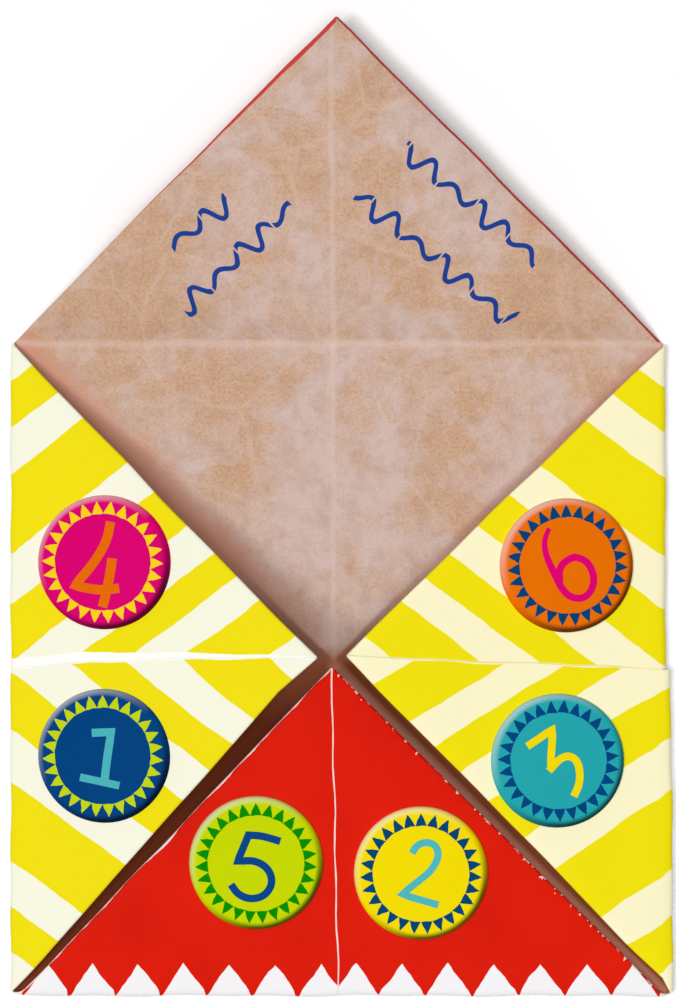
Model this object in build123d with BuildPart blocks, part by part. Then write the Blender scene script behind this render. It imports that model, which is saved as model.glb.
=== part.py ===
from build123d import *

import os
from math import cos, radians, sin, sqrt

# Paper fortune teller, folded twice from one square sheet and laid down with its top flap opened out.
# The folded square lies flat with its centre at the origin: +X to the right, +Y to the opened flap, +Z up.
# The first folding tucks the sheet's corners under to the centre and leaves four square pockets below.
# The second folding brings the new corners over the top to the centre: four flaps, each of two layers.

# Driving dimensions, in millimetres and degrees
square_side = 100.0  # the twice folded square, from a sheet of 200 by 200
paper_thickness = 0.2
layer_gap = 0.3  # air between two layers that lie on each other
fold_radius = 0.4  # inside the inner fold along the square's sides
corner_relief = 0.3  # room at the square's corners, where the folds of two sides meet
pocket_slit = 0.4  # between the raw edges that meet below the square
flap_slit_at_fold = 1.2  # between the raw edges that meet on a flap, at the square's side
flap_slit_at_tip = 0.3
left_lift = 17.0  # how far each closed flap has sprung up from the square
right_lift = 10.0
bottom_lift = 5.0
opened_rise = 8.0  # how far the opened flap rises from the floor
sticker_diameter = 20.0
sticker_thickness = 1.0
sticker_bevel = 0.6  # round the rim of its face

# Turn of each flap about Z, counted from +X
right_turn = 0
top_turn = 90
left_turn = 180
bottom_turn = 270

# Stickers: number, turn and lift of the flap, place along the flap's fold and distance from it,
# both as shares of the square's side
sticker_places = (
    (1, left_turn, left_lift, 0.131, 0.144),
    (2, bottom_turn, bottom_lift, 0.126, 0.18),
    (3, right_turn, right_lift, -0.139, 0.16),
    (4, left_turn, left_lift, -0.163, 0.144),
    (5, bottom_turn, bottom_lift, -0.125, 0.196),
    (6, right_turn, right_lift, 0.158, 0.146),
)

# Worked out from the driving dimensions
half_side = square_side / 2
half_paper = paper_thickness / 2
layer_pitch = paper_thickness + layer_gap
inner_bend = fold_radius + half_paper  # to the middle of the paper
outer_bend = inner_bend + layer_pitch
closed_fold = half_side - outer_bend - half_paper  # from the centre to the axis of a closed flap's folds
pocket_level = half_paper
base_level = pocket_level + layer_pitch
bend_level = base_level + inner_bend


def side_directions(turn):
    """The directions out of the square and along its side, for the side at this turn."""
    outward = Vector(1, 0, 0).rotate(Axis.Z, turn)
    along = Vector(0, 1, 0).rotate(Axis.Z, turn)
    return outward, along


def flap_plane(turn, lift, fold_line):
    """Middle of a flap's under layer: x along its fold, y to its tip, z to its printed face."""
    outward, along = side_directions(turn)
    face_up = outward * sin(radians(lift)) + Vector(0, 0, cos(radians(lift)))
    bend_axis = outward * fold_line + Vector(0, 0, bend_level)
    return Plane(origin=bend_axis + face_up * inner_bend, x_dir=along, z_dir=face_up)


def bend_section(section_plane, middle_radius, lift, fold_line):
    """Paper that bends up from the square and over, until it heads along the flap."""
    start = -90
    turned = 180 - lift
    centre = (fold_line, bend_level)
    with BuildSketch(section_plane) as section:
        with BuildLine():
            outside = CenterArc(centre, middle_radius + half_paper, start, turned)
            inside = CenterArc(centre, middle_radius - half_paper, start, turned)
            Line(outside @ 0, inside @ 0)
            Line(outside @ 1, inside @ 1)
        make_face()
    return section.sketch


def hairpin_section(section_plane, leg_end):
    """The paper where it turns back on itself at a flap's edge, with both of its layers."""
    turn_start = layer_pitch / 2 + half_paper
    with BuildSketch(section_plane) as section:
        with BuildLine() as middle:
            Line((leg_end, 0), (turn_start, 0))
            ThreePointArc((turn_start, 0), (half_paper, layer_pitch / 2), (turn_start, layer_pitch))
            Line((turn_start, layer_pitch), (leg_end, layer_pitch))
        trace(middle.line, line_width=paper_thickness)
    return section.sketch


def make_flap(turn, lift, fold_line, reach):
    """A flap of two layers, with the two nested folds that carry it along the square's side."""
    outward, along = side_directions(turn)
    under_layer = flap_plane(turn, lift, fold_line)
    to_tip = under_layer.y_dir
    middle_plane = Plane(origin=(0, 0, 0), x_dir=outward, z_dir=along)
    edge_plane = Plane(
        origin=under_layer.origin + along * reach, x_dir=-along - to_tip, z_dir=to_tip - along
    )
    side_plane = Plane(origin=(0, 0, 0), x_dir=outward, z_dir=-along)
    slit_plane = side_plane.offset(-flap_slit_at_fold / 2)
    with BuildPart() as flap:
        # One half: the hairpin runs along the flap's slanting edge, from the square's corner to the tip
        extrude(hairpin_section(edge_plane, reach / sqrt(2)), amount=reach * sqrt(2))
        split(bisect_by=middle_plane, keep=Keep.TOP)
        split(bisect_by=Plane(origin=under_layer.origin, z_dir=to_tip), keep=Keep.TOP)
        # The slit on the flap's axis, through the printed layer alone
        with BuildSketch(under_layer.offset(layer_pitch / 2)):
            with BuildLine():
                Polyline(
                    (0, 0),
                    (flap_slit_at_fold / 2, 0),
                    (flap_slit_at_tip / 2, reach),
                    (0, reach),
                    close=True,
                )
            make_face()
        extrude(amount=layer_pitch, mode=Mode.SUBTRACT)
        # The inner fold carries the under layer, and the outer one joins a pocket to the printed layer
        extrude(bend_section(side_plane, inner_bend, lift, fold_line), amount=-half_side)
        outer_length = half_side - flap_slit_at_fold / 2
        extrude(bend_section(slit_plane, outer_bend, lift, fold_line), amount=-outer_length)
        # A mitre leaves room for the folds of the next side
        mitre = Plane(origin=outward * corner_relief, z_dir=outward - along)
        split(bisect_by=mitre, keep=Keep.TOP)
        mirror(about=middle_plane)
    return flap.part


closed_reach = closed_fold - corner_relief
left_flap = make_flap(left_turn, left_lift, closed_fold, closed_reach)
right_flap = make_flap(right_turn, right_lift, closed_fold, closed_reach)
bottom_flap = make_flap(bottom_turn, bottom_lift, closed_fold, closed_reach)
opened_flap = make_flap(top_turn, 180 - opened_rise, half_side, half_side)

# The sheet: the square, the pockets below it and the four flaps
with BuildPart() as folded_sheet:
    with BuildSketch(Plane.XY.offset(base_level - half_paper)):
        with Locations((0, (half_side - closed_fold) / 2)):
            Rectangle(2 * closed_fold, half_side + closed_fold)
    extrude(amount=paper_thickness)
    with BuildSketch(Plane.XY.offset(pocket_level - half_paper)):
        with Locations((0, (half_side - closed_fold) / 2)):
            Rectangle(2 * closed_fold, half_side + closed_fold)
        Rectangle(pocket_slit, 2 * square_side, mode=Mode.SUBTRACT)
        Rectangle(2 * square_side, pocket_slit, mode=Mode.SUBTRACT)
    extrude(amount=paper_thickness)
    add([left_flap, right_flap, bottom_flap, opened_flap])
folded_sheet.part.label = "folded_sheet"


def make_sticker(turn, lift, along_share, reach_share):
    """A round raised sticker with a bevelled rim, seated on a flap's print."""
    flap = flap_plane(turn, lift, closed_fold)
    along_fold = along_share * square_side
    from_fold = reach_share * square_side
    seat = Plane(
        origin=flap.from_local_coords(Vector(along_fold, from_fold, layer_pitch + half_paper)),
        x_dir=flap.x_dir,
        z_dir=flap.z_dir,
    )
    with BuildPart() as sticker:
        with BuildSketch(seat):
            Circle(sticker_diameter / 2)
        extrude(amount=sticker_thickness)
        face_edge = sticker.edges().sort_by(Axis(seat.origin, seat.z_dir))[-1]
        chamfer(face_edge, length=sticker_bevel)
    return sticker.part


os.makedirs("parts", exist_ok=True)
export_step(folded_sheet.part, "parts/folded_sheet.step")
for number, turn, lift, along_share, reach_share in sticker_places:
    number_sticker = make_sticker(turn, lift, along_share, reach_share)
    number_sticker.label = f"number_sticker_{number}"
    export_step(number_sticker, f"parts/number_sticker_{number}.step")
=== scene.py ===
"""Paper fortune teller: a printed square folded twice, with its top flap opened out and six raised number stickers.

The sheet is laid out flat, creased and then folded as by hand, so every layer of the paper is there.
Its print is drawn on the flat sheet, in millimetres from the sheet's centre, and goes round the folds with the paper.
"""

import logging
from dataclasses import dataclass, field
from enum import Enum
from functools import partial
from math import atan2, cos, degrees, hypot, pi, radians, sin, sqrt, tau
from typing import Any, Callable, Sequence

import bpy
import numpy as np
from mathutils import Matrix, Vector

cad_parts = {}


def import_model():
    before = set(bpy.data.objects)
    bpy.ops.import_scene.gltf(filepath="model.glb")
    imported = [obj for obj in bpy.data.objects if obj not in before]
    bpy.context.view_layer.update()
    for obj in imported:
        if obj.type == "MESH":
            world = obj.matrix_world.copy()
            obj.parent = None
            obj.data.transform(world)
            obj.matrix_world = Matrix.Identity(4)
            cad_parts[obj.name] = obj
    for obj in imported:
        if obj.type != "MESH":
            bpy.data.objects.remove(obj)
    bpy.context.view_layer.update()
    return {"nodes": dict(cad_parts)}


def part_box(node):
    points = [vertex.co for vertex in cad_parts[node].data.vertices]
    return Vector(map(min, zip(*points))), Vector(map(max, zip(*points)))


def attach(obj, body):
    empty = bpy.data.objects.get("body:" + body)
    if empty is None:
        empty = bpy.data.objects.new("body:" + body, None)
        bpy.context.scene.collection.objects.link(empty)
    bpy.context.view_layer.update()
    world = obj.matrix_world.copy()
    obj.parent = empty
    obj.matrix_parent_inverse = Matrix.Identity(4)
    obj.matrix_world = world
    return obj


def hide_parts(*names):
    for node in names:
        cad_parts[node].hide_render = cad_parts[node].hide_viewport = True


LOG = logging.getLogger("fortune_teller")

Node = bpy.types.Node
Piece = bpy.types.Object
Links = dict[int | str, Any]  # what goes into a node's inputs
AddNode = Callable[..., Node]  # adds a node to one material

MM = 0.001
PHOTO_SIZE = (676, 1000)
PHOTO_WIDTH_MM = 103.4  # what the frame shows across, at the height of the paper
CAMERA_HEIGHT = 0.9
SENSOR_MM = 36.0
FLAT_MAP = "flat_sheet"  # UV map of the sheet: millimetres from its centre, before folding
FACE_MAP = "sticker_face"  # UV map of a sticker: millimetres from its centre
NOISE_SPAN = (0.3, 0.7)  # where most values of a noise lie
ON_LINE = 1e-7  # how near to a fold line counts as on it
WELD_DISTANCE = 1e-6  # how near to each other two points are one
PAPER_IOR = 1.45
LACQUER_IOR = 1.49


def direction(turn: float) -> np.ndarray:
    """The flat direction at a turn in degrees from +X."""
    return np.array((cos(radians(turn)), sin(radians(turn))))


def share_between(values: np.ndarray, start: float, end: float) -> np.ndarray:
    """How far each value is on the way from start to end: nought before, one past the end."""
    return np.clip((values - start) / (end - start), 0.0, 1.0)


class Side(Enum):
    """A side of the folded square, with its heading in degrees from +X."""

    RIGHT = 0
    TOP = 90
    LEFT = 180
    BOTTOM = 270


def linear(code: str) -> tuple[float, float, float, float]:
    """Turns an sRGB hex colour to linear.

    Args:
        code: six hex digits after a hash sign.

    Returns:
        Linear red, green and blue, and an alpha of one.
    """
    values = [int(code[place:place + 2], 16) / 255 for place in (1, 3, 5)]
    red, green, blue = (v / 12.92 if v <= 0.04045 else ((v + 0.055) / 1.055) ** 2.4 for v in values)
    return red, green, blue, 1.0


def wire(tree: bpy.types.NodeTree, node: Node, links: Links) -> None:
    """Links a node's inputs or sets their values.

    Args:
        tree: the material's nodes.
        node: the node that is wired.
        links: for each input, a node (its first output in use), an output socket, a hex colour or a plain value.
    """
    for place, value in links.items():
        if isinstance(value, str):
            value = linear(value)
        if isinstance(value, Node):
            value = next(output for output in value.outputs if output.enabled)
        if isinstance(value, bpy.types.NodeSocket):
            tree.links.new(value, node.inputs[place])
        else:
            node.inputs[place].default_value = value


def add_node(tree: bpy.types.NodeTree, kind: str, *inputs: Any, **named: Any) -> Node:
    """Adds one shader node, sets it up and links it.

    Args:
        tree: the material's nodes.
        kind: the node's type, without its ShaderNode prefix.
        inputs: what goes into its inputs in use, in their order.
        named: the node's own options, and with a capital letter what goes into the input of that name.

    Returns:
        The new node.
    """
    node = tree.nodes.new("ShaderNode" + kind)
    for option in [name for name in named if name.islower()]:
        setattr(node, option, named.pop(option))
    in_use = [place for place, socket in enumerate(node.inputs) if socket.enabled]
    wire(tree, node, {**dict(zip(in_use, inputs)), **named})
    return node


def start_material(name: str) -> tuple[bpy.types.Material, AddNode, Callable[[Links], None]]:
    """Makes a material with its shader and output.

    Args:
        name: the real material's name.

    Returns:
        The material, what adds a node to it, and what wires its Principled shader.
    """
    material = bpy.data.materials.new(name)
    material.use_nodes = True
    tree = material.node_tree
    return material, partial(add_node, tree), partial(wire, tree, tree.nodes["Principled BSDF"])


def select_only(piece: Piece) -> None:
    """Deselects everything else and makes this piece the active one.

    Args:
        piece: the piece that stays selected.
    """
    bpy.ops.object.select_all(action="DESELECT")
    piece.select_set(True)
    bpy.context.view_layer.objects.active = piece


@dataclass(frozen=True)
class PenLine:
    """A wavy line of blue pen on the brown side of the opened flap, in millimetres on the flat sheet."""

    start: tuple[float, float]
    end: tuple[float, float]
    swing: float = 1.45
    wave: float = 4.8


@dataclass(frozen=True)
class PrintedPaper:
    """Offset print on coated craft paper: brown paper inside, stripes and a red field with teeth outside.

    Matt with a faint sheen where ink lies thick, white where a fold has cracked the ink.
    All lengths are millimetres on the flat sheet. Some light and shade is painted: on the brown side by the flaps, in
    the side flaps' tones, on the opened flap's right rim and at the right slit.
    """

    fold_sum: float  # where the first folds cross the sheet's axes
    half_sheet: float
    fold_middle: float  # where the second folds cross the axes
    mauve: str = "#D2B9B0"
    ochre: str = "#CDA37F"
    brown_deep: str = "#A98268"
    crease: str = "#DCC3B7"
    speck: str = "#8E5A38"
    wrinkle: str = "#D9C1B6"
    # Painted shade beside the side flaps: a warm band along their edges and a narrow dark band near their tips
    shade_warm: str = "#CB907B"
    painted_edge_shade: str = "#82503C"
    # Painted shade in the strips of brown seen between the flaps
    shade_left: str = "#7C3922"
    shade_tip: str = "#9D5A40"
    shade_right: str = "#84452A"
    shade_right_pale: str = "#FFB99D"
    # Painted light and shade: each side flap's yellow and cream are set for how that flap is lit
    yellow_left: str = "#EEDD0F"
    yellow_right: str = "#F2E20C"
    cream_left: str = "#F4F3DD"
    cream_right: str = "#FDF6CB"
    # Painted shadow: a thin ochre line along the right flap's slit, on its upper half
    slit_shadow_line: str = "#F6E59E"
    red: str = "#E51E08"
    red_deep: str = "#CF1402"
    red_hidden: str = "#A5140A"
    white: str = "#F3F1F3"
    white_margin: str = "#FCFBF4"
    worn_line: str = "#FFE9E2"
    worn_specks: str = "#FFD6CC"
    # The opened flap's red rim, painted darker on the right as shade
    rim_left: str = "#C8443D"
    rim_right_shaded: str = "#AE3F3E"
    pen: str = "#1F3F8F"
    cloud_size: float = 11.0  # of the soft edges of rubbed patches
    facet_size: float = 5.5  # of their straight sides
    broad_size: float = 26.0  # of whole rubbed regions
    grain_size: float = 0.8  # as coarse as the render can show
    speckle_size: float = 0.42
    smudge_size: float = 2.4
    wrinkle_size: float = 17.0
    fleck_spacing: float = 13.0
    drift_size: float = 5.0  # of the unevenness of printed edges
    tooth_ripple: float = 4.0
    red_mottle: float = 12.0
    crack_size: float = 0.9
    fibre_size: float = 0.7
    crease_lean: float = -0.75  # how far the upright crease lies off the axis
    stripe_lean: float = 0.69
    stripe_edges: tuple[float, ...] = (-29.0, -19.3, -13.3, -6.8, 0.4, 9.2, 16.9, 29.2, 36.2, 42.9)
    stripe_span: tuple[float, float] = (-45.0, 55.0)
    stripe_waver: float = 0.9
    stripe_shift_upper: tuple[float, float] = (-0.4, 0.3)  # how far the print is off, on the left flap and the right
    stripe_shift_lower: tuple[float, float] = (-2.3, -1.1)  # on the right flap's lower half, at its slit and beyond
    stripe_shift_reach: float = 9.0
    tooth_period: float = 7.08
    tooth_height: float = 4.6
    tooth_peak: float = 2.7
    tooth_waver: float = 1.6
    red_overrun: tuple[float, float] = (-0.73, -0.36)  # on to the brown side, on the left at the tip and on the right
    rubbed_places: tuple[tuple[float, float, float, float], ...] = (
        (-35.5, 49.5, 17.0, 0.13),
        (-14.8, 43.3, 6.0, 0.14),
        (23.4, 73.2, 10.0, -0.1),
        (1.2, 28.8, 11.0, -0.17),
        (-2.6, 45.6, 6.0, -0.1),
        (31.8, 54.8, 7.0, 0.2),
        (25.0, 41.0, 8.0, 0.12),
        (-10.2, 77.8, 7.0, 0.1),
        (14.2, 59.4, 7.0, 0.1),
    )  # each a place, how far it reaches, and how much more it is rubbed than the rest
    pen_width: float = 0.75
    pen_lines: tuple[PenLine, ...] = (
        PenLine((-25.4, 64.4), (-16.4, 71.1)),
        PenLine((-23.7, 54.7), (-6.9, 70.5)),
        PenLine((10.2, 79.2), (30.6, 62.1)),
        PenLine((2.9, 72.3), (26.6, 52.9)),
    )

    def brown_side(self, add: AddNode, flat: Node, x: bpy.types.NodeSocket, y: bpy.types.NodeSocket) -> Node:
        """The brown paper: rubbed ochre patches, grain, specks and pale creases, with painted shade beside the flaps
        and between them.

        Args:
            add: adds a node.
            flat: place on the flat sheet.
            x: its first coordinate.
            y: its second coordinate.

        Returns:
            A node that gives the colour.
        """
        # Rubbed patches with straight sides, as once crumpled paper has them
        cloud = add("TexNoise", Vector=flat, Scale=1 / self.cloud_size, Detail=8.0, Roughness=0.66)
        sway = add("VectorMath", cloud.outputs[1], Scale=3.0, operation="SCALE")
        swayed = add("VectorMath", flat, sway, operation="ADD")
        facets = add("TexVoronoi", Vector=swayed, Scale=1 / self.facet_size)
        facet = add("SeparateXYZ", facets.outputs["Color"])
        broad = add("TexNoise", Vector=flat, Scale=1 / self.broad_size, Detail=3.0, Roughness=0.6)
        rubbed = cloud
        for part, weight in ((facet, 0.15), (broad, 0.7)):
            rubbed = add("Math", part, weight, rubbed, operation="MULTIPLY_ADD")
        for across, up, reach, more in self.rubbed_places:
            away = add("VectorMath", flat, (across, up, 0.0), operation="DISTANCE")
            here = add("MapRange", away, 0.3 * reach, 1.5 * reach, more, 0.0)
            rubbed = add("Math", rubbed, here, operation="ADD")
        patch = add("MapRange", rubbed, 0.79, 1.05)
        # Grain is strongest where the paper is rubbed
        grain = add("TexNoise", Vector=flat, Scale=1 / self.grain_size, Detail=3.0, Roughness=0.85)
        grain_share = add("MapRange", grain, *NOISE_SPAN, 0.35, 1.25)
        ochre_share = add("Math", patch, grain_share, operation="MULTIPLY")
        speckle = add("TexNoise", Vector=flat, Scale=1 / self.speckle_size, Roughness=0.7)
        speckle_most = add("MapRange", patch, 0.0, 1.0, 0.3, 0.85)
        speckle_share = add("MapRange", speckle, 0.45, 0.8, 0.0, speckle_most)
        smudge = add("TexNoise", Vector=swayed, Scale=1 / self.smudge_size, Roughness=0.6)
        smudge_share = add("MapRange", smudge, 0.42, 0.72, 0.0, 0.3)
        wrinkles = add("TexVoronoi", Vector=swayed, Scale=1 / self.wrinkle_size, feature="DISTANCE_TO_EDGE")
        wrinkle_share = add("MapRange", wrinkles, 0.004, 0.03, 0.42, 0.0)
        wrinkle_share = add("Math", wrinkle_share, cloud, operation="MULTIPLY")
        flecks = add("TexVoronoi", Vector=flat, Scale=1 / self.fleck_spacing)
        fleck_share = add("MapRange", flecks, 0.012, 0.03, 0.75, 0.0)
        layers: list[tuple[Node, Node | str]] = [
            (ochre_share, self.ochre),
            (speckle_share, self.brown_deep),
            (smudge_share, self.brown_deep),
            (wrinkle_share, self.wrinkle),
            (fleck_share, self.speck),
        ]
        # Painted shade: a warm band along the side flaps' edges, and a narrow dark band beside them near their tips
        by_tip = add("MapRange", y, 3.0, 16.0, 0.95, 0.15)
        for slope, width, warm_width, most in ((1.0, 0.1, 6.5, 0.9), (-1.0, 1.65, 3.0, 0.4)):
            off = add("Math", x, slope, y, operation="MULTIPLY_ADD")
            warm_most = add("MapRange", y, 4.0, 16.0, 0.4 * most, most)
            warm = add("MapRange", off, 1.0, warm_width, warm_most, 0.0)
            near = add("MapRange", off, width, width + 0.8, 0.85, 0.0)
            near = add("Math", near, by_tip, operation="MULTIPLY")
            layers += (warm, self.shade_warm), (near, self.painted_edge_shade)
        # Pale lines along the folds
        for axis, line, width in ((y, self.fold_middle, 0.85), (x, self.crease_lean, 0.6)):
            away = add("Math", axis, line, operation="SUBTRACT")
            away = add("Math", away, operation="ABSOLUTE")
            crease = add("MapRange", away, 0.1, width, 0.5, 0.0)
            for factor in (grain, 1.6):
                crease = add("Math", crease, factor, operation="MULTIPLY")
            layers.append((crease, self.crease))
        # Painted shade on the lower half, which the flaps keep covered: dark strips between the flaps, paler beside
        # the red flap
        strip_shade_share = add("MapRange", y, 3.8, 0.4)
        rightward = add("MapRange", x, -2.0, 2.0)
        off = add("Math", x, y, operation="ADD")
        palest = add("MapRange", y, -47.5, -43.0, 0.5)
        paler = add("MapRange", off, 1.5, -1.2, 0.0, palest)
        right = add("Mix", paler, self.shade_right, self.shade_right_pale, data_type="RGBA")
        at_tip = add("MapRange", y, -8.0, -2.0)
        left = add("Mix", at_tip, self.shade_left, self.shade_tip, data_type="RGBA")
        deep = add("Mix", rightward, left, right, data_type="RGBA")
        tone: Node | str = self.mauve
        for share, colour in (*layers, (strip_shade_share, deep)):
            tone = add("Mix", share, tone, colour, data_type="RGBA")
        return tone

    def pen_share(self, add: AddNode, flat: Node) -> Node:
        """Where the pen lines are: a wave about each line's axis, of even width, with short pauses.

        Args:
            add: adds a node.
            flat: place on the flat sheet.

        Returns:
            A node that gives one on the pen lines and nought elsewhere.
        """
        share = None
        for line in self.pen_lines:
            across, up = line.end[0] - line.start[0], line.end[1] - line.start[1]
            middle = (line.start[0] + across / 2, line.start[1] + up / 2, 0.0)
            turned = add("Mapping", flat, middle, (0.0, 0.0, atan2(up, across)), vector_type="TEXTURE")
            place = add("SeparateXYZ", turned)
            along, aside = place.outputs[0], place.outputs[1]
            pitch = tau / line.wave
            phase = add("Math", along, pitch, operation="MULTIPLY")
            swell = add("Math", along, pitch / 2.7, operation="MULTIPLY")
            swell = add("Math", swell, operation="SINE")
            swing = add("Math", swell, 0.35 * line.swing, 0.75 * line.swing, operation="MULTIPLY_ADD")
            wave = add("Math", phase, operation="SINE")
            wave = add("Math", wave, swing, operation="MULTIPLY")
            offset = add("Math", aside, wave, operation="SUBTRACT")
            offset = add("Math", offset, operation="ABSOLUTE")
            slope = add("Math", phase, operation="COSINE")
            for factor in (swing, pitch):
                slope = add("Math", slope, factor, operation="MULTIPLY")
            steep = add("Math", slope, slope, 1.0, operation="MULTIPLY_ADD")
            steep = add("Math", steep, operation="SQRT")
            offset = add("Math", offset, steep, operation="DIVIDE")
            on_line = add("Math", offset, self.pen_width / 2, operation="LESS_THAN")
            off_middle = add("Math", along, operation="ABSOLUTE")
            within = add("Math", off_middle, hypot(across, up) / 2, operation="LESS_THAN")
            pause = add("Math", along, 1.5 * line.wave, operation="WRAP")
            drawn = add("Math", pause, 0.16 * line.wave, operation="GREATER_THAN")
            for limit in (within, drawn):
                on_line = add("Math", on_line, limit, operation="MULTIPLY")
            share = on_line if share is None else add("Math", share, on_line, operation="MAXIMUM")
        return share

    def striped(self, add: AddNode, flat: Node, far: Node, near: Node, rightward: Node, upward: Node) -> Node:
        """Slanting yellow and cream stripes on the side flaps, with painted light and shade: each flap's tones are
        set for how it is lit, warmer on the right one.

        Args:
            add: adds a node.
            flat: place on the flat sheet.
            far: millimetres from the square's side.
            near: millimetres from the slit.
            rightward: one on the sheet's right half, nought on its left.
            upward: one on its upper half, nought on its lower one.

        Returns:
            A node that gives the colour.
        """
        ripple = add("TexNoise", Vector=flat, Scale=1 / self.drift_size)
        place = add("Math", far, -self.stripe_lean, near, operation="MULTIPLY_ADD")
        place = add("Math", ripple, self.stripe_waver, place, operation="MULTIPLY_ADD")
        left_upper, right_upper = self.stripe_shift_upper
        at_slit, beyond = self.stripe_shift_lower
        right_lower = add("MapRange", near, 0.0, self.stripe_shift_reach, at_slit, beyond)
        lower = add("Math", rightward, right_lower, operation="MULTIPLY")
        upper = add("Mix", rightward, left_upper, right_upper)
        shift = add("Mix", upward, lower, upper)
        place = add("Math", place, shift, operation="ADD")
        low, high = self.stripe_span
        middle = self.stripe_waver / 2
        bands = add("ValToRGB", add("MapRange", place, low + middle, high + middle))
        stops = bands.color_ramp
        stops.interpolation = "CONSTANT"
        stops.elements[0].color = linear("#000000")
        stops.elements.remove(stops.elements[1])
        for number, edge in enumerate(self.stripe_edges):
            stop = stops.elements.new((edge - low) / (high - low))
            stop.color = linear("#FFFFFF" if number % 2 == 0 else "#000000")
        # Painted light and shade: the two flaps take their own tones for how each is lit
        left = add("Mix", bands, self.cream_left, self.yellow_left, data_type="RGBA")
        right = add("Mix", bands, self.cream_right, self.yellow_right, data_type="RGBA")
        return add("Mix", rightward, left, right, data_type="RGBA")

    def toothed(self, add: AddNode, flat: Node, far: Node, near: Node) -> Node:
        """The red field with white teeth along the square's side.

        Args:
            add: adds a node.
            flat: place on the flat sheet.
            far: millimetres from the square's side.
            near: millimetres from the slit.

        Returns:
            A node that gives the colour.
        """
        half = self.tooth_period / 2
        ripple = add("TexNoise", Vector=flat, Scale=1 / self.tooth_ripple)
        wobble = add("Math", ripple, self.tooth_waver, -self.tooth_waver / 2, operation="MULTIPLY_ADD")
        start = add("Math", near, half - self.tooth_peak, operation="ADD")
        tooth = add("Math", start, half, operation="PINGPONG")
        tooth = add("Math", tooth, self.tooth_height / half, operation="MULTIPLY")
        tooth = add("Math", tooth, wobble, operation="ADD")
        in_tooth = add("Math", far, tooth, operation="LESS_THAN")
        mottle = add("TexNoise", Vector=flat, Scale=1 / self.red_mottle, Detail=3.0)
        red = add("Mix", mottle, self.red, self.red_deep, data_type="RGBA")
        return add("Mix", in_tooth, red, self.white, data_type="RGBA")

    def make(self) -> bpy.types.Material:
        """Builds the material.

        Returns:
            The finished material.
        """
        material, add, dress = start_material("printed_craft_paper")
        flat = add("UVMap", uv_map=FLAT_MAP)
        place = add("SeparateXYZ", flat)
        x, y = place.outputs[0], place.outputs[1]
        across, along = (add("Math", axis, operation="ABSOLUTE") for axis in (x, y))
        right_half, upper_half = (add("Math", axis, 0.0, operation="GREATER_THAN") for axis in (x, y))
        lower_half = add("Math", y, 0.0, operation="LESS_THAN")
        total = add("Math", across, along, operation="ADD")
        past_fold = add("Math", total, 1 / sqrt(2), -self.fold_sum / sqrt(2), operation="MULTIPLY_ADD")
        from_side, from_end = (
            add("Math", self.fold_middle, distance, operation="SUBTRACT") for distance in (along, across)
        )
        from_slit, from_end_slit = (
            add("Math", self.half_sheet, distance, operation="SUBTRACT") for distance in (across, along)
        )
        stripes = self.striped(add, flat, from_side, from_slit, right_half, upper_half)
        field_red = self.toothed(add, flat, from_end, from_end_slit)
        on_side_flap = add("Math", along, self.fold_middle, operation="LESS_THAN")
        ink = add("Mix", on_side_flap, field_red, stripes, data_type="RGBA")
        # A bare margin along the sheet's cut edges, widest above the left flap's slit
        drift = add("TexNoise", Vector=flat, Scale=1 / self.drift_size, Detail=3.0)
        margin_most = add("Mix", on_side_flap, 0.14, 0.24)
        margin = add("MapRange", drift, *NOISE_SPAN, 0.05, margin_most)
        widest = add("MapRange", from_side, 0.0, 10.0, 1.15, 1.55)
        taper = add("MapRange", from_side, 12.0, 46.0, 1.55, 0.1)
        taper = add("Math", widest, taper, operation="MINIMUM")
        left_margin = add("Math", upper_half, right_half, operation="GREATER_THAN")
        for factor in (taper, on_side_flap):
            left_margin = add("Math", left_margin, factor, operation="MULTIPLY")
        margin = add("Math", margin, left_margin, operation="ADD")
        edge = add("Math", from_slit, from_end_slit, operation="MINIMUM")
        bare = add("Math", edge, margin, operation="LESS_THAN")
        right_flap = add("Math", right_half, on_side_flap, operation="MULTIPLY")
        paper = add("Mix", on_side_flap, self.worn_line, self.white_margin, data_type="RGBA")
        # On the right flap's upper half the margin at the slit is a painted shadow line
        right_margin = add("Mix", upper_half, self.cream_right, self.slit_shadow_line, data_type="RGBA")
        paper = add("Mix", right_flap, paper, right_margin, data_type="RGBA")
        # Ink cracked off along the red flap's folds, in a line on the left and in specks on the right
        crack = add("TexNoise", Vector=flat, Scale=1 / self.crack_size, Detail=3.0)
        line_width = add("MapRange", drift, *NOISE_SPAN, 0.08, 0.44)
        speck_width = add("MapRange", crack, 0.55, 0.7, 0.0, 0.85)
        width = add("Mix", right_half, line_width, speck_width)
        worn = add("Math", past_fold, width, operation="LESS_THAN")
        red_part = add("Math", from_side, 0.0, operation="LESS_THAN")
        for limit in (red_part, lower_half):
            worn = add("Math", worn, limit, operation="MULTIPLY")
        worn_tone = add("Mix", right_half, self.worn_line, self.worn_specks, data_type="RGBA")
        # The pockets under the square are plain
        pocket = add("Math", from_end, from_side, operation="MAXIMUM")
        pocket = add("Math", pocket, -0.8, operation="LESS_THAN")
        # The brown side, which the red runs on to at the opened flap's edges
        brown = self.brown_side(add, flat, x, y)
        written = add("Mix", self.pen_share(add, flat), brown, self.pen, data_type="RGBA")
        top_half = add("Math", y, self.fold_middle + 0.4, operation="GREATER_THAN")
        most_left, all_right = self.red_overrun
        overrun_left = add("MapRange", y, 66.0, 97.0, 0.0, most_left)
        overrun = add("Mix", right_half, overrun_left, all_right)
        uneven = add("MapRange", drift, *NOISE_SPAN, 0.85, 1.15)
        for factor in (uneven, top_half):
            overrun = add("Math", overrun, factor, operation="MULTIPLY")
        on_brown = add("Math", past_fold, overrun, operation="LESS_THAN")
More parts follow.
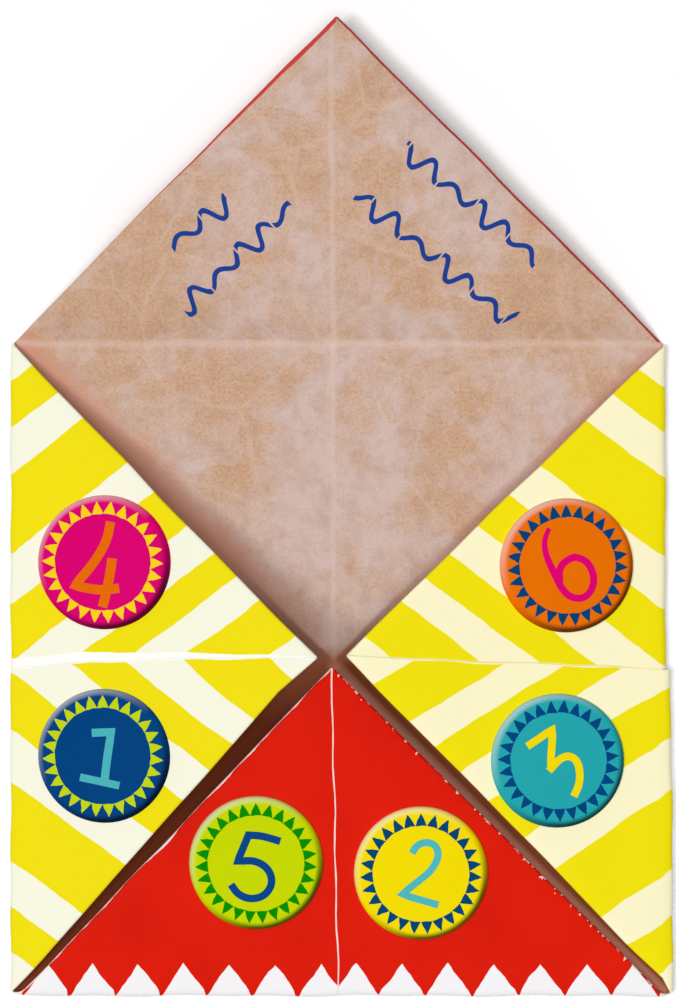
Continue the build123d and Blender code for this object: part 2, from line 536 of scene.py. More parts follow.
        # The opened flap's rim is red, its right side painted darker as shade, and the red is darker where it is out
        # of sight
        hidden = add("Math", top_half, past_fold, operation="MULTIPLY")
        hidden = add("Math", hidden, 1.0, operation="GREATER_THAN")
        inked = add("MapRange", y, 60.0, 66.0)
        left_rim = add("Mix", inked, self.white, self.rim_left, data_type="RGBA")
        rim = add("Mix", right_half, left_rim, self.rim_right_shaded, data_type="RGBA")
        at_rim = add("Math", past_fold, 1.0, operation="LESS_THAN")
        on_end_flap = add("Math", from_end, 0.3, operation="GREATER_THAN")
        for limit in (top_half, on_end_flap):
            at_rim = add("Math", at_rim, limit, operation="MULTIPLY")
        for share, tone, blend in (
            (bare, paper, "MIX"),
            (worn, worn_tone, "MIX"),
            (pocket, self.cream_left, "MIX"),
            (hidden, self.red_hidden, "DARKEN"),
            (at_rim, rim, "MIX"),
            (on_brown, written, "MIX"),
        ):
            ink = add("Mix", share, ink, tone, data_type="RGBA", blend_type=blend)
        # Coated print is smoother than the brown side
        gloss = add("MapRange", on_brown, 0.0, 1.0, 0.5, 0.85)
        fibre = add("TexNoise", Vector=flat, Scale=1 / self.fibre_size, Detail=4.0, Roughness=0.65)
        bump = add("Bump", Strength=0.25, Distance=0.05 * MM, Height=fibre)
        dress({"Base Color": ink, "Roughness": gloss, "IOR": PAPER_IOR, "Specular IOR Level": 0.03, "Normal": bump})
        return material


@dataclass(frozen=True)
class BarePaper:
    """The sheet's uncoated reverse and its cut edges: white paper fibre, quite matt."""

    tone: str = "#F2F0EC"
    tone_deep: str = "#E2DED8"
    fibre_size: float = 1.5

    def make(self) -> bpy.types.Material:
        """Builds the material.

        Returns:
            The finished material.
        """
        material, add, dress = start_material("bare_white_paper")
        flat = add("UVMap", uv_map=FLAT_MAP)
        fibre = add("TexNoise", Vector=flat, Scale=1 / self.fibre_size, Detail=4.0, Roughness=0.6)
        tone = add("Mix", fibre, self.tone, self.tone_deep, data_type="RGBA")
        bump = add("Bump", Strength=0.3, Distance=0.05 * MM, Height=fibre)
        dress({"Base Color": tone, "Roughness": 0.9, "IOR": PAPER_IOR, "Normal": bump})
        return material


@dataclass
class FoldedSheet:
    """The square sheet: laid out flat, creased, and folded twice round its pockets.

    The first folds tuck its corners under, and the second ones bring the new corners over the top.
    """

    half_side: float
    lifts: dict[Side, float]
    opened_rise: float
    paper: float = 0.2 * MM
    layer_pitch: float = 0.5 * MM
    inner_bend: float = 0.5 * MM
    bend_strip: float = 1.45 * MM
    edge_slack: float = -0.05 * MM  # taken up by the first folds
    grid_cells: int = 80
    hairpin_steps: int = 4
    side_steps: int = 6
    tip_drift: dict[Side, tuple[float, float]] = field(
        default_factory=lambda: {
            Side.LEFT: (-0.8 * MM, 1.9 * MM),
            Side.RIGHT: (0.1 * MM, 2.1 * MM),
            Side.BOTTOM: (-1.0 * MM, 0.7 * MM),
            Side.TOP: (-0.4 * MM, 0.6 * MM),
        }
    )
    right_lean: float = 1.4 * MM  # how far the right flap's lower half is folded outward
    right_lean_reach: float = 28.0 * MM  # how far below its slit that is full
    right_lean_start: float = 3.0 * MM  # how far past its fold
    left_lean: float = 1.25 * MM  # the same on the left flap, most at its tip
    left_lean_reach: float = 5.0 * MM
    left_squeeze: float = 1.05 * MM  # how much the bottom flap's left corner is folded in
    slit_rise: float = 0.75 * MM  # how far the left flap's slit runs too high, between its fold and its tip
    slit_rise_reach: float = 6.0 * MM
    slit_rise_places: tuple[float, ...] = (0.0, 0.15, 0.4, 1.0)  # from the fold to the tip
    slit_rise_shares: tuple[float, ...] = (0.0, 0.8, 1.0, 0.4)  # at those places
    step_out: float = 0.75 * MM  # how far the right side's lower half stands out
    step_out_reach: float = 20.0 * MM  # how far below the slit that is full
    step_out_width: float = 6.0 * MM
    arch: float = 2.3 * MM  # of the opened flap, between its fold and its tip
    arch_skew: float = 0.6  # highest nearer the fold
    droop: float = 1.8 * MM  # of its tip
    buckle: float = 0.35 * MM  # its unevenness
    waver: float = 0.1 * MM  # of all folded edges
    smooth_angle: float = 50.0  # degrees, past which a bend shows as an edge

    def __post_init__(self) -> None:
        """Works out the levels of the layers and the places of the folds."""
        self.base_level = self.paper / 2 + self.layer_pitch
        fold_start = self.half_side - self.inner_bend - self.layer_pitch - self.paper / 2
        self.fold_middle = fold_start + self.bend_strip / 2
        self.fold_sum = 2 * self.fold_middle
        self.half_sheet = self.fold_sum - self.edge_slack
        self.side_lines = np.linspace(fold_start, fold_start + self.bend_strip, self.side_steps + 1)
        hairpin = self.layer_pitch / 2
        first = self.fold_sum / sqrt(2) - hairpin - self.paper / 2
        self.corner_lines = np.linspace(first, first + pi * hairpin, self.hairpin_steps + 1)

    def lay_out(self) -> None:
        """Adds the flat sheet and cuts an edge line across it wherever the paper will bend."""
        bpy.ops.object.select_all(action="DESELECT")
        bpy.ops.mesh.primitive_grid_add(
            x_subdivisions=self.grid_cells,
            y_subdivisions=self.grid_cells,
            size=2 * self.half_sheet,
            location=(0, 0, self.base_level),
        )
        self.piece = bpy.context.object
        self.piece.name = self.piece.data.name = "printed_sheet"
        bpy.ops.object.transform_apply()
        bpy.ops.object.mode_set(mode="EDIT")
        for heading, lines in ((45, self.corner_lines), (0, self.side_lines)):
            for turn in range(heading, 360, 90):
                facing = (*direction(turn), 0.0)
                for line in lines:
                    bpy.ops.mesh.select_all(action="SELECT")
                    bpy.ops.mesh.bisect(plane_co=[c * line for c in facing], plane_no=facing, threshold=ON_LINE)
        bpy.ops.object.mode_set(mode="OBJECT")
        self.flat = self.places()
        mesh = self.piece.data
        corners = np.empty(len(mesh.loops), int)
        mesh.loops.foreach_get("vertex_index", corners)
        chart = mesh.uv_layers.active
        chart.name = FLAT_MAP
        chart.data.foreach_set("uv", (self.flat[corners, :2] / MM).ravel())

    def places(self) -> np.ndarray:
        """Where the sheet's vertices are now.

        Returns:
            A row of x, y and z for each vertex.
        """
        held = np.empty(len(self.piece.data.vertices) * 3)
        self.piece.data.vertices.foreach_get("co", held)
        return held.reshape(-1, 3)

    def rotate(self, picked: np.ndarray, angle: float, axis: str, centre: Sequence[float]) -> None:
        """Turns the picked vertices, counted right-handed.

        Args:
            picked: true for each vertex that turns.
            angle: in radians.
            axis: the axis's letter.
            centre: a point on the axis.
        """
        mesh = self.piece.data
        for parts in (mesh.polygons, mesh.edges):
            parts.foreach_set("select", np.zeros(len(parts), bool))
        mesh.vertices.foreach_set("select", picked)
        bpy.ops.object.mode_set(mode="EDIT")
        bpy.ops.mesh.select_mode(type="VERT")
        # Without a window the operator turns the other way
        bpy.ops.transform.rotate(value=-angle, orient_axis=axis, orient_type="GLOBAL", center_override=centre)
        bpy.ops.object.mode_set(mode="OBJECT")

    def bend(self, heading: float, lines: Sequence[float], rise: float, ahead: np.ndarray) -> None:
        """Bends the paper along parallel lines, evenly shared among them.

        Args:
            heading: the direction that the lines face, in degrees.
            lines: their distances from the centre.
            rise: the whole bend in degrees, upward if positive.
            ahead: how far each vertex lies along the heading before this fold.
        """
        everything = np.ones(len(ahead), bool)
        origin = (0.0, 0.0, 0.0)
        self.rotate(everything, radians(-heading), "Z", origin)
        gaps = len(lines) - 1
        shares = [1.0] if gaps == 0 else [0.5] + [1.0] * (gaps - 1) + [0.5]
        centre, tilt = Vector((lines[0], 0.0, self.base_level)), 0.0
        for number, (line, share) in enumerate(zip(lines, shares)):
            angle = radians(rise) * share / max(gaps, 1)
            self.rotate(ahead > line + ON_LINE, -angle, "Y", centre)
            tilt += angle
            if number < gaps:
                centre += Vector((cos(tilt), 0.0, sin(tilt))) * float(lines[number + 1] - line)
        self.rotate(everything, radians(heading), "Z", origin)

    def fold(self) -> None:
        """Makes the first folds and then the second ones."""
        for heading in (45, 135, 225, 315):
            self.bend(heading, self.corner_lines, -180.0, self.flat[:, :2] @ direction(heading))
        self.once_folded = self.places()
        for side in Side:
            ahead = self.reach_of(side)
            if side is Side.TOP:
                self.bend(side.value, [self.fold_middle], self.opened_rise, ahead)
            else:
                self.bend(side.value, self.side_lines, 180.0 - self.lifts[side], ahead)

    def reach_of(self, side: Side) -> np.ndarray:
        """How far each vertex of one flap lies out from the centre, once folded; nought on the other flaps.

        Args:
            side: the flap's side of the square.

        Returns:
            A distance for each vertex.
        """
        ahead = self.once_folded[:, :2] @ direction(side.value)
        beside = self.once_folded[:, :2] @ direction(side.value + 90)
        return np.where(np.abs(beside) <= ahead, ahead, 0.0)

    def settle(self) -> None:
        """Lets the flaps drift and buckle a little, as hand folding leaves them."""
        now = self.places()
        hinge, fold_end = self.side_lines[0], self.side_lines[-1]
        for side, drift in self.tip_drift.items():
            past = np.clip(self.reach_of(side) - fold_end, 0.0, None)
            share = past / past.max()
            now[:, :2] += share[:, None] * np.array(drift)
            if side is Side.TOP:
                x, y = now[:, 0] / MM, now[:, 1] / MM
                waves = np.sin(x / 7.5 + 0.7) * np.cos(y / 6.2) + 0.6 * np.sin((x + y) / 4.4)
                now[:, 2] += self.buckle * waves * np.sqrt(share)
                now[:, 2] += self.arch * np.sin(pi * share ** self.arch_skew) - self.droop * share ** 2
        right, left, bottom = (self.reach_of(side) for side in (Side.RIGHT, Side.LEFT, Side.BOTTOM))
        leftward, below = -self.once_folded[:, 0], -self.once_folded[:, 1]
        lean = self.right_lean * share_between(below, 0.0, self.right_lean_reach)
        now[:, 0] += lean * share_between(right, hinge, hinge + self.right_lean_start)
        lean = self.left_lean * share_between(below, 0.0, self.left_lean_reach)
        now[:, 0] -= lean * share_between(left, hinge, hinge + self.fold_middle)
        past_fold = share_between(left, fold_end, fold_end + self.fold_middle)
        by_slit = share_between(np.abs(below), self.slit_rise_reach, 0.0)
        now[:, 1] += self.slit_rise * by_slit * np.interp(past_fold, self.slit_rise_places, self.slit_rise_shares)
        red_flap = share_between(bottom, hinge, hinge + self.bend_strip)
        now[:, 0] += self.left_squeeze * share_between(leftward, 0.0, self.fold_middle) * red_flap
        # The right side's lower half stands out: its printed layer from the slit on, the rest towards the corner
        across, along = self.flat[:, 0], self.flat[:, 1]
        printed = (across > 0) & (along < 0) & (across - along > self.fold_sum)
        stepped = np.where(printed, 1.0, share_between(-now[:, 1], 0.0, self.step_out_reach))
        by_side = share_between(now[:, 0], self.fold_middle - self.step_out_width, self.fold_middle)
        by_side *= by_side * (3.0 - 2.0 * by_side)
        now[:, 0] += self.step_out * stepped * by_side * (1.0 - red_flap)
        # No edge is quite straight
        x, y = now[:, 0] / MM, now[:, 1] / MM
        now[:, 0] += self.waver * (np.sin(y / 1.9) + 0.7 * np.sin(y / 3.7 + 1.0)) * np.cos(x / 9.0)
        now[:, 1] += self.waver * (np.sin(x / 2.1 + 0.4) + 0.7 * np.sin(x / 4.3)) * np.cos(y / 8.0)
        self.piece.data.vertices.foreach_set("co", now.ravel())
        self.piece.data.update()

    def thicken(self) -> None:
        """Gives the paper its thickness, with the bare reverse and the cut edge as finishes of their own."""
        select_only(self.piece)
        solid = self.piece.modifiers.new("thickness", "SOLIDIFY")
        solid.thickness = self.paper
        solid.offset = 0.0
        solid.material_offset = 1
        solid.material_offset_rim = 1
        bpy.ops.object.modifier_apply(modifier=solid.name)
        bpy.ops.object.shade_smooth_by_angle(angle=radians(self.smooth_angle))

    def build(self) -> Piece:
        """Makes the folded and dressed sheet.

        Returns:
            The finished piece.
        """
        self.lay_out()
        self.fold()
        self.settle()
        printed = PrintedPaper(self.fold_sum / MM, self.half_sheet / MM, self.fold_middle / MM)
        self.piece.data.materials.append(printed.make())
        self.piece.data.materials.append(BarePaper().make())
        self.thicken()
        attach(self.piece, "root")
        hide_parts("folded_sheet")
        return self.piece


@dataclass(frozen=True)
class StickerPrint:
    """Screen print on a moulded sticker: an even ground with a ring of small triangles, satin lacquered, with a
    painted highlight and shade on its rim.
    """

    name: str
    ground: str
    triangles: str
    count: int
    first_at: float
    ring_inner: float = 7.35
    ring_outer: float = 9.3
    ripple_size: float = 1.2
    ripple_sway: float = 0.35
    mottle_size: float = 2.5
    light_from: float = 125.0  # degrees, where the painted highlight on the rim is strongest
    rim_highlight: tuple[float, float, float] = (9.1, 9.95, 0.4)  # from and to which radius, and how much at most
    rim_shade: tuple[float, float, float] = (9.05, 9.75, 0.84)

    def make(self) -> bpy.types.Material:
        """Builds the material.

        Returns:
            The finished material.
        """
        material, add, dress = start_material(self.name)
        face = add("UVMap", uv_map=FACE_MAP)
        ripple = add("TexNoise", Vector=face, Scale=1 / self.ripple_size)
        sway = add("VectorMath", ripple.outputs[1], (0.5, 0.5, 0.5), operation="SUBTRACT")
        sway = add("VectorMath", sway, Scale=self.ripple_sway, operation="SCALE")
        warped = add("VectorMath", face, sway, operation="ADD")
        place = add("SeparateXYZ", warped)
        angle = add("Math", place.outputs[1], place.outputs[0], operation="ARCTAN2")
        half_step = pi / self.count
        start = add("Math", angle, 2 * tau + half_step - radians(self.first_at), operation="ADD")
        tooth = add("Math", start, half_step, operation="PINGPONG")
        slope = (self.ring_outer - self.ring_inner) / half_step
        limit = add("Math", tooth, slope, self.ring_inner, operation="MULTIPLY_ADD")
        radius = add("VectorMath", warped, operation="LENGTH")
        below = add("Math", radius, limit, operation="LESS_THAN")
        above = add("Math", radius, self.ring_inner, operation="GREATER_THAN")
        in_ring = add("Math", below, above, operation="MULTIPLY")
        mottle = add("TexNoise", Vector=face, Scale=1 / self.mottle_size, Detail=3.0)
        shade = add("MapRange", mottle, *NOISE_SPAN, 0.985, 1.01)
        colour = add("Mix", in_ring, self.ground, self.triangles, data_type="RGBA")
        colour = add("VectorMath", colour, Scale=shade, operation="SCALE")
        # Painted highlight on the rim to the upper left and painted shade to the lower right
        away = add("VectorMath", face, operation="LENGTH")
        heading = add("VectorMath", face, operation="NORMALIZE")
        facing = add("VectorMath", heading, (*direction(self.light_from), 0.0), operation="DOT_PRODUCT")
        for tone, (inner, outer, most), none, full in (
            ("#FFFFFF", self.rim_highlight, 0.15, 1.0),
            ("#050308", self.rim_shade, 0.0, -0.8),
        ):
            at_rim = add("MapRange", away, inner, outer, 0.0, most)
            turned = add("MapRange", facing, none, full)
            share = add("Math", at_rim, turned, operation="MULTIPLY")
            colour = add("Mix", share, colour, tone, data_type="RGBA")
        gloss = add("MapRange", mottle, *NOISE_SPAN, 0.52, 0.62)
        dress({"Base Color": colour, "Roughness": gloss, "IOR": LACQUER_IOR, "Specular IOR Level": 0.02})
        return material


@dataclass(frozen=True)
class NumeralInk:
    """Thick screen ink of a numeral: slightly raised, satin."""

    name: str
    tone: str
    grain_size: float = 0.8 * MM

    def make(self) -> bpy.types.Material:
        """Builds the material.

        Returns:
            The finished material.
        """
        material, add, dress = start_material(self.name)
        place = add("TexCoord")
        grain = add("TexNoise", Vector=place.outputs["Object"], Scale=1 / self.grain_size)
        shade = add("MapRange", grain, *NOISE_SPAN, 0.96, 1.03)
        colour = add("VectorMath", linear(self.tone)[:3], Scale=shade, operation="SCALE")
        dress({"Base Color": colour, "Roughness": 0.5, "IOR": LACQUER_IOR, "Specular IOR Level": 0.02})
        return material


@dataclass(frozen=True)
class Stroke:
    """One pull of the brush in a numeral: its middle line in millimetres from the sticker's centre, and its width."""

    points: tuple[tuple[float, float], ...]
    width: float
    turns: tuple[int, ...] = ()  # which of the points are sharp turns
    first_width: float = 0.0  # where the brush starts thinner

    def middle_line(self) -> np.ndarray:
        """Rounds the points off by cutting corners, with the ends and the sharp turns kept.

        Returns:
            Places in millimetres along the stroke's middle line.
        """
        line = [np.array(point) for point in self.points]
        kept = [place in (0, len(line) - 1, *self.turns) for place in range(len(line))]
        for _ in range(3):
            rounded: list[np.ndarray] = []
            marks: list[bool] = []
            for place in range(len(line) - 1):
                here, ahead = line[place], line[place + 1]
                rounded.append(here if kept[place] else 0.75 * here + 0.25 * ahead)
                marks.append(kept[place])
                if not kept[place + 1]:
                    rounded.append(0.25 * here + 0.75 * ahead)
                    marks.append(False)
            line, kept = rounded + [line[-1]], marks + [True]
        return np.array(line)

    def outline(self) -> np.ndarray:
        """The stroke's closed outline, with slightly blunt corners at its sharp turns.

        Returns:
            Places in millimetres, down one side of the middle line and back up the other.
        """
        line = self.middle_line()
        steps = np.diff(line, axis=0)
        lengths = np.linalg.norm(steps, axis=1)
        normals = np.stack((-steps[:, 1], steps[:, 0]), axis=1) / lengths[:, None]
        behind, ahead = np.vstack((normals[:1], normals)), np.vstack((normals, normals[-1:]))
        side = behind + ahead
        side /= np.linalg.norm(side, axis=1)[:, None]
        lean = (side * ahead).sum(1)
        inner, outer = 1 / np.clip(lean, 0.3, 1.0), 1 / np.clip(lean, 0.72, 1.0)
        to_left = behind[:, 0] * ahead[:, 1] - behind[:, 1] * ahead[:, 0] > 0
        gone = np.append(0.0, lengths.cumsum()) / lengths.sum()
        widths = np.interp(gone, (0.0, 0.3), (self.first_width or self.width, self.width))
        side *= widths[:, None] / 2
        left = line + side * np.where(to_left, inner, outer)[:, None]
        right = line - side * np.where(to_left, outer, inner)[:, None]
        return np.vstack((left, right[::-1]))


@dataclass(frozen=True)
class Seat:
    """Where a sticker lies, read from its CAD node: the middle of its underside, its tilt and its size."""

    matrix: Matrix
    radius: float
    thickness: float

    @classmethod
    def of_node(cls, node: Piece) -> "Seat":
        """Reads the seat from a sticker's solid.

        Args:
            node: the CAD node's object.

        Returns:
            The seat, with x to the right and z out of the sticker's face.
        """
        mesh = node.data
        spread = np.zeros((3, 3))
        for face in mesh.polygons:
            spread += face.area * np.outer(face.normal, face.normal)
        axis = Vector(np.linalg.eigh(spread)[1][:, -1])
        axis *= 1 if axis.z > 0 else -1
        right = (Vector((1, 0, 0)) - axis * axis.x).normalized()
        up = axis.cross(right)
        turned = np.array([v.co for v in mesh.vertices]) @ np.array((right, up, axis)).T
        low, high = turned.min(0), turned.max(0)
        middle = (low + high) / 2
        foot = right * middle[0] + up * middle[1] + axis * low[2]
        matrix = Matrix.Translation(foot) @ Matrix((right, up, axis)).transposed().to_4x4()
        return cls(matrix, (high[0] - low[0]) / 2, high[2] - low[2])

    def rounding(self) -> Matrix:
        """The slight stretch down the slope that keeps the sticker round from straight above, as it is seen."""
        across, up = (1 / Vector(self.matrix.col[place][:2]).length for place in (0, 1))
        return Matrix.Diagonal((across, up, 1.0, 1.0))

    def lift(self) -> float:
        """How far the sticker leans from level, in degrees."""
        axis = self.matrix.col[2]
        return degrees(atan2(Vector(axis[:2]).length, axis[2]))


@dataclass
class NumberSticker:
    """A round raised sticker with a rounded rim, a ring of triangles and a numeral."""

    number: int
    slot: str
    ground: str
    triangles: str
    ink: str
    strokes: tuple[Stroke, ...]
    first_at: float  # degrees from +X to the first triangle
    triangle_count: int = 27
    rim_round: float = 0.95 * MM
    lacquer_bead: float = 0.2 * MM  # how far the lacquer runs out past the moulded disc
    rim_steps: int = 6
    outline_steps: int = 108
    ink_relief: float = 0.05 * MM
    smooth_angle: float = 40.0  # degrees, past which a bend shows as an edge

    def add_disc(self, seat: Seat) -> Piece:
        """Adds the disc and rounds its rim.

        Args:
            seat: where it lies.

        Returns:
            The disc, flat at the origin.
        """
        bpy.ops.object.select_all(action="DESELECT")
        bpy.ops.mesh.primitive_cylinder_add(
            vertices=self.outline_steps,
            radius=seat.radius + self.lacquer_bead,
            depth=seat.thickness,
            location=(0, 0, seat.thickness / 2),
        )
        disc = bpy.context.object
        disc.name = disc.data.name = f"sticker_{self.number}"
        bpy.ops.object.transform_apply()
        mesh = disc.data
        bpy.ops.object.mode_set(mode="EDIT")
        bpy.ops.mesh.select_all(action="DESELECT")
        bpy.ops.mesh.select_mode(type="EDGE")
        bpy.ops.object.mode_set(mode="OBJECT")
        for edge in mesh.edges:
            edge.select = all(mesh.vertices[v].co.z > seat.thickness * 0.9 for v in edge.vertices)
        bpy.ops.object.mode_set(mode="EDIT")
        bpy.ops.mesh.bevel(offset=self.rim_round, segments=self.rim_steps, profile=0.5)
        bpy.ops.object.mode_set(mode="OBJECT")
        chart = mesh.uv_layers.active or mesh.uv_layers.new()
        chart.name = FACE_MAP
        for loop in mesh.loops:
            place = mesh.vertices[loop.vertex_index].co
            chart.data[loop.index].uv = (place.x / MM, place.y / MM)
        bpy.ops.object.shade_smooth_by_angle(angle=radians(self.smooth_angle))
        finish = StickerPrint(
            f"lacquered_sticker_{self.number}", self.ground, self.triangles, self.triangle_count, self.first_at
        )
        mesh.materials.append(finish.make())
        return disc

    def add_numeral(self, seat: Seat) -> list[Piece]:
        """Draws the numeral's strokes as flat raised shapes on the face.

        Args:
            seat: where the sticker lies.

        Returns:
            The strokes, above the origin.
        """
        ink = NumeralInk(f"numeral_ink_{self.number}", self.ink).make()
        pieces = []
        for place, stroke in enumerate(self.strokes):
            bpy.ops.object.select_all(action="DESELECT")
            bpy.ops.curve.primitive_nurbs_path_add()
            piece = bpy.context.object
            piece.name = f"numeral_{self.number}_{place}"
            curve = piece.data
            curve.splines.clear()
            curve.dimensions = "2D"
            curve.fill_mode = "BOTH"
            # A later stroke lies on an earlier one
            curve.extrude = self.ink_relief * (1 + 0.1 * place)
            places = stroke.outline()
            line = curve.splines.new("POLY")
            line.points.add(len(places) - 1)
            for point, (across, up) in zip(line.points, places):
                point.co = (across * MM, up * MM, 0.0, 1.0)
            line.use_cyclic_u = True
            bpy.ops.object.convert(target="MESH")
            bpy.ops.object.mode_set(mode="EDIT")
            bpy.ops.mesh.select_all(action="SELECT")
            bpy.ops.mesh.remove_doubles(threshold=WELD_DISTANCE)
            bpy.ops.mesh.normals_make_consistent(inside=False)
            bpy.ops.transform.translate(value=(0.0, 0.0, seat.thickness))
            bpy.ops.object.mode_set(mode="OBJECT")
            piece.data.materials.clear()
            piece.data.materials.append(ink)
            pieces.append(piece)
        return pieces

    def build(self, node: Piece) -> Piece:
        """Makes the sticker and lays it on its flap.

        Args:
            node: its CAD node.

        Returns:
            The finished piece.
        """
        seat = Seat.of_node(node)
        disc = self.add_disc(seat)
        strokes = self.add_numeral(seat)
        select_only(disc)
        for stroke in strokes:
            stroke.select_set(True)
        bpy.ops.object.join()
        disc.matrix_world = seat.matrix @ seat.rounding()
        select_only(disc)
        bpy.ops.object.transform_apply()
        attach(disc, "root")
        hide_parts(f"number_sticker_{self.number}")
        return disc


STICKERS = (
    NumberSticker(
        1, "sticker_navy", "#00417C", "#BFD30F", "#4AAFB7",
        (
            Stroke(((-1.65, 3.5), (1.35, 3.7), (0.75, 0.0), (0.3, -3.9)), 1.25, turns=(1,)),
            Stroke(((-3.45, -3.25), (-0.4, -3.85), (2.6, -4.45)), 1.15),
        ),
        9.88,
    ),
    NumberSticker(
        2, "sticker_yellow", "#F2DA00", "#004470", "#4DB7BA",
        (
            Stroke(
                ((-1.35, 3.15), (-0.75, 4.3), (0.7, 4.95), (2.3, 4.4), (2.75, 2.8), (1.7, 0.6), (-0.5, -1.2),
                 (-2.95, -3.1), (-0.5, -3.85), (2.65, -4.75)),
                1.1,
                turns=(7,),
            ),
        ),
        9.91,
    ),
    NumberSticker(
        3, "sticker_teal", "#24A5AC", "#00447E", "#F3DA06",
        (
            Stroke(
                ((-4.8, 2.25), (-2.6, 3.7), (-0.95, 4.85), (-1.0, 2.7), (-1.2, 0.6), (-1.15, -1.3)),
                1.15,
                turns=(2,),
            ),
            Stroke(
                ((-1.5, -1.5), (0.1, 0.3), (1.5, 0.85), (2.8, 0.1), (3.3, -1.8), (3.1, -3.8), (2.3, -5.4)),
                1.15,
            ),
        ),
        4.57,
    ),
    NumberSticker(
        4, "sticker_magenta", "#D7006E", "#F4CF12", "#E26800",
        (
            Stroke(
                ((1.25, 6.15), (0.8, 3.7), (-0.4, 1.3), (-1.9, -0.8), (-3.2, -2.3), (-4.2, -3.55), (-2.4, -3.95),
                 (0.1, -4.25), (2.55, -3.9)),
                1.4,
                turns=(5,),
            ),
            Stroke(((1.5, 0.6), (1.15, -1.9), (0.5, -5.0), (0.0, -6.8)), 1.45),
        ),
        12.72,
        26,
    ),
    NumberSticker(
        5, "sticker_lime", "#C5D600", "#008C00", "#034486",
        (
            Stroke(
                ((3.7, 3.4), (0.9, 4.25), (-1.15, 4.35), (-2.1, 2.0), (-2.85, 0.3), (-0.3, 0.55), (1.9, -0.7),
                 (2.6, -3.0), (1.3, -5.0), (-0.9, -5.5), (-2.8, -4.7), (-3.8, -3.2)),
                1.15,
                turns=(2, 4),
            ),
        ),
        9.96,
    ),
    NumberSticker(
        6, "sticker_orange", "#E86F00", "#024175", "#DE0070",
        (
            Stroke(
                ((-2.85, 5.65), (-3.55, 4.0), (-3.5, 2.2), (-2.8, 0.3), (-1.8, -1.7), (-0.9, -3.6), (0.6, -5.0),
                 (2.6, -5.0), (3.8, -3.6), (4.1, -1.6), (3.1, 0.5), (1.6, 1.25), (0.6, 1.2)),
                1.1,
                first_width=0.7,
            ),
            Stroke(((1.4, 1.3), (0.5, 1.15), (-0.9, 0.2), (-1.35, -1.1), (-1.2, -2.6)), 1.1),
        ),
        11.34,
    ),
)


@dataclass(frozen=True)
class SoftLight:
    """A wide lamp far away: its strength, its height and heading in degrees, and how wide it looks."""

    name: str
    strength: float
    height: float
    heading: float
    spread: float

    def hang(self) -> None:
        """Adds the lamp."""
        bpy.ops.object.light_add(type="SUN", location=(0, 0, 1))
        lamp = bpy.context.object
        lamp.name = self.name
        lamp.data.energy = self.strength
        lamp.data.angle = radians(self.spread)
        lamp.rotation_euler = (0.0, radians(90 - self.height), radians(self.heading))


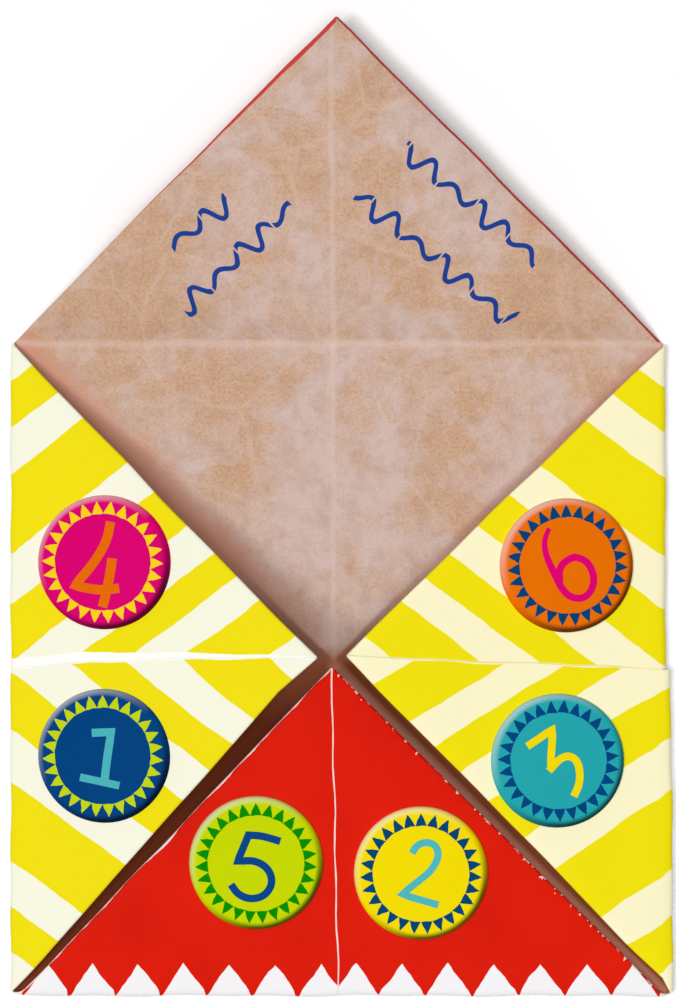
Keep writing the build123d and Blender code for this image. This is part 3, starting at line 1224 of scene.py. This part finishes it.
@dataclass(frozen=True)
class Studio:
    """White table, a broad light overhead, a smaller one from the left and a camera straight above."""

    middle: tuple[float, float] = (-0.02 * MM, 25.75 * MM)
    table_size: float = 3.0
    table_grain: float = 40 * MM
    lights: tuple[SoftLight, ...] = (
        SoftLight("overhead_panel", 1.95, 85.0, 180.0, 50.0),
        SoftLight("window_light", 0.72, 62.0, 200.0, 14.0),
    )
    sky_strength: float = 0.2

    def set_table(self) -> None:
        """Adds the pale floor."""
        bpy.ops.object.select_all(action="DESELECT")
        bpy.ops.mesh.primitive_plane_add(size=self.table_size, location=(0, 0, 0))
        table = bpy.context.object
        table.name = "table"
        material, add, dress = start_material("white_laminate")
        place = add("TexCoord")
        grain = add("TexNoise", Vector=place.outputs["Object"], Scale=1 / self.table_grain)
        tone = add("Mix", grain, "#FFFFFF", "#FCFCFC", data_type="RGBA")
        dress({"Base Color": tone, "Roughness": 0.8, "Specular IOR Level": 0.1})
        table.data.materials.append(material)

    def set_light(self) -> None:
        """Adds the sky and the lamps."""
        world = bpy.data.worlds.new("studio")
        bpy.context.scene.world = world
        world.use_nodes = True
        sky = world.node_tree.nodes["Background"]
        sky.inputs["Color"].default_value = (1.0, 1.0, 1.0, 1.0)
        sky.inputs["Strength"].default_value = self.sky_strength
        for light in self.lights:
            light.hang()

    def set_camera(self) -> None:
        """Adds the camera above the object, looking straight down."""
        bpy.ops.object.camera_add(location=(self.middle[0], self.middle[1], CAMERA_HEIGHT), rotation=(0, 0, 0))
        camera = bpy.context.object
        camera.name = "camera"
        camera.data.sensor_fit = "VERTICAL"
        camera.data.sensor_height = SENSOR_MM
        view_height = PHOTO_WIDTH_MM * MM * PHOTO_SIZE[1] / PHOTO_SIZE[0]
        camera.data.lens = SENSOR_MM * CAMERA_HEIGHT / view_height
        bpy.context.scene.camera = camera
        bpy.context.scene.view_settings.view_transform = "Standard"

    def build(self) -> None:
        """Sets the table, the light and the camera."""
        self.set_table()
        self.set_light()
        self.set_camera()


def opened_rise(node: Piece, half_side: float, hinge_level: float = 0.5 * MM) -> float:
    """Reads how far the opened flap rises from the sheet's solid.

    Args:
        node: the sheet's CAD node.
        half_side: from the centre to the square's side.
        hinge_level: how high the flap's fold lies.

    Returns:
        The rise in degrees.
    """
    tip = max((v.co for v in node.data.vertices), key=lambda place: place.y)
    return degrees(atan2(tip.z - hinge_level, tip.y - half_side))


def main() -> None:
    """Builds the sheet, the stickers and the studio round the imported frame."""
    logging.basicConfig(level=logging.INFO, format="%(message)s")
    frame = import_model()
    nodes = frame["nodes"]
    lifts = {
        side: Seat.of_node(nodes[f"number_sticker_{number}"]).lift()
        for side, number in ((Side.LEFT, 1), (Side.RIGHT, 3), (Side.BOTTOM, 2))
    }
    half_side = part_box("folded_sheet")[1].x
    sheet = FoldedSheet(half_side, lifts, opened_rise(nodes["folded_sheet"], half_side))
    piece = sheet.build()
    LOG.info("%s: %d faces", piece.name, len(piece.data.polygons))
    for side, lift in lifts.items():
        LOG.info("%s flap: sprung up by %.1f degrees", side.name.lower(), lift)
    for sticker in STICKERS:
        piece = sticker.build(nodes[f"number_sticker_{sticker.number}"])
        LOG.info("%s: %d faces", piece.name, len(piece.data.polygons))
    Studio().build()


if __name__ == "__main__":
    main()
